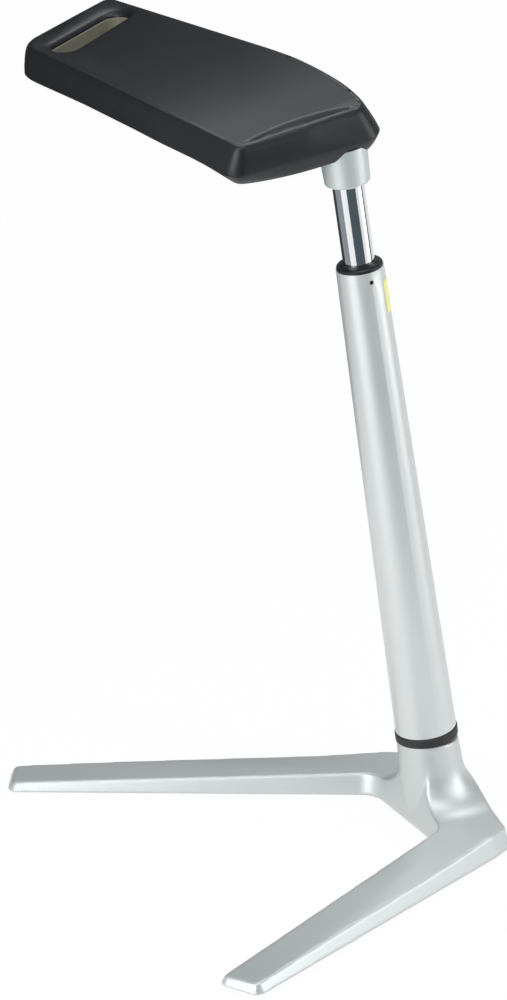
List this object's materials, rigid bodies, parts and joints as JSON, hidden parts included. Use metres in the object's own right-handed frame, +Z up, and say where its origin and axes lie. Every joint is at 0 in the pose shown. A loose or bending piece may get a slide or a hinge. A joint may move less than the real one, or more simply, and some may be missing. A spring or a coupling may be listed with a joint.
{
  "type": "perch stool",
  "caption": "Leaning perch stool on a cast V foot with a rocking rubber mount, gas height lift, swivel and an off-centre padded seat with a carry grip.",
  "frame": {"origin": "middle of the heel glide on the floor", "axes": "+Z up, V foot opens towards -Y, seat's carry grip towards -X"},
  "size_m": [0.6421, 0.3602, 0.7008],
  "materials": {
    "foot_metal": "satin silver paint over cast metal",
    "glide_plastic": "matt black",
    "bare_steel": "bare",
    "black_rubber": "matt black",
    "tube_paint": "satin silver paint",
    "black_steel": "blackened",
    "black_plastic": "matt black",
    "sticker_film": "blank pale film",
    "rod_chrome": "ground and plated",
    "board_wood": "plain plywood",
    "insert_brass": "bare",
    "pad_foam": "satin black moulded foam skin",
    "liner_plastic": "matt olive beige",
    "boss_metal": "satin silver"
  },
  "bodies": {
    "base": {"foot_casting": "foot_metal", "heel_glide": "glide_plastic", "right_leg_glide": "glide_plastic", "left_leg_glide": "glide_plastic", "flex_sleeve": "bare_steel"},
    "flex_core": {"flex_bush": "black_rubber"},
    "column": {"flex_ring": "black_rubber", "column_spigot": "bare_steel", "retaining_washer": "bare_steel", "retaining_bolt": "bare_steel", "column_tube": "tube_paint", "grub_screw": "black_steel", "guide_bush": "black_plastic", "blank_sticker": "sticker_film", "thrust_bearing": "bare_steel"},
    "lift_rod": {"bearing_washer": "bare_steel", "rod_clip": "bare_steel", "piston_rod": "rod_chrome", "rod_piston": "bare_steel"},
    "seat": {"gas_cylinder": "rod_chrome", "cylinder_gland": "black_plastic", "seat_board": "board_wood", "board_inserts": "insert_brass", "plate_screws": "black_steel", "seat_pad": "pad_foam", "grip_liner": "liner_plastic", "seat_plate": "black_steel", "lever_pin": "bare_steel", "seat_boss": "boss_metal", "under_cover": "black_plastic"},
    "valve": {"valve_button": "bare_steel"},
    "release": {"release_lever": "black_steel", "lever_grip": "black_plastic"}
  },
  "joints": [
    {"name": "rock_sideways", "type": "hinge", "parent": "base", "child": "flex_core", "pos_m": [0, -0.03262, 0.05951], "axis": [0, 1, 0], "range_deg": [-4, 4], "stiffness_Nm_per_rad": 2600, "deforming": ["flex_ring", "flex_bush"]},
    {"name": "rock_fore_aft", "type": "hinge", "parent": "flex_core", "child": "column", "pos_m": [0, -0.03262, 0.05951], "axis": [1, 0, 0], "range_deg": [-4, 4], "stiffness_Nm_per_rad": 2600},
    {"name": "seat_swivel", "type": "hinge", "parent": "column", "child": "lift_rod", "pos_m": [0, -0.03961, 0.11407], "axis": [0, -0.1271, 0.9919], "continuous": true},
    {"name": "height_lift", "type": "slide", "parent": "lift_rod", "child": "seat", "axis": [0, -0.1271, 0.9919], "range_m": [-0.066, 0.134]},
    {"name": "valve_press", "type": "slide", "parent": "seat", "child": "valve", "axis": [0, -0.1271, 0.9919], "range_m": [-0.003, 0], "stiffness_N_per_m": 900, "springref_m": 0.001},
    {"name": "lever_pull", "type": "hinge", "parent": "seat", "child": "release", "pos_m": [-0.02963, -0.11155, 0.63868], "axis": [-0.1564, 0.9797, 0.1255], "range_deg": [0, 4.8], "stiffness_Nm_per_rad": 3, "springref_deg": -1.72}
  ],
  "couplings": [
    {"joint": "valve_press", "follows": "lever_pull", "m_per_rad": -0.0335}
  ]
}
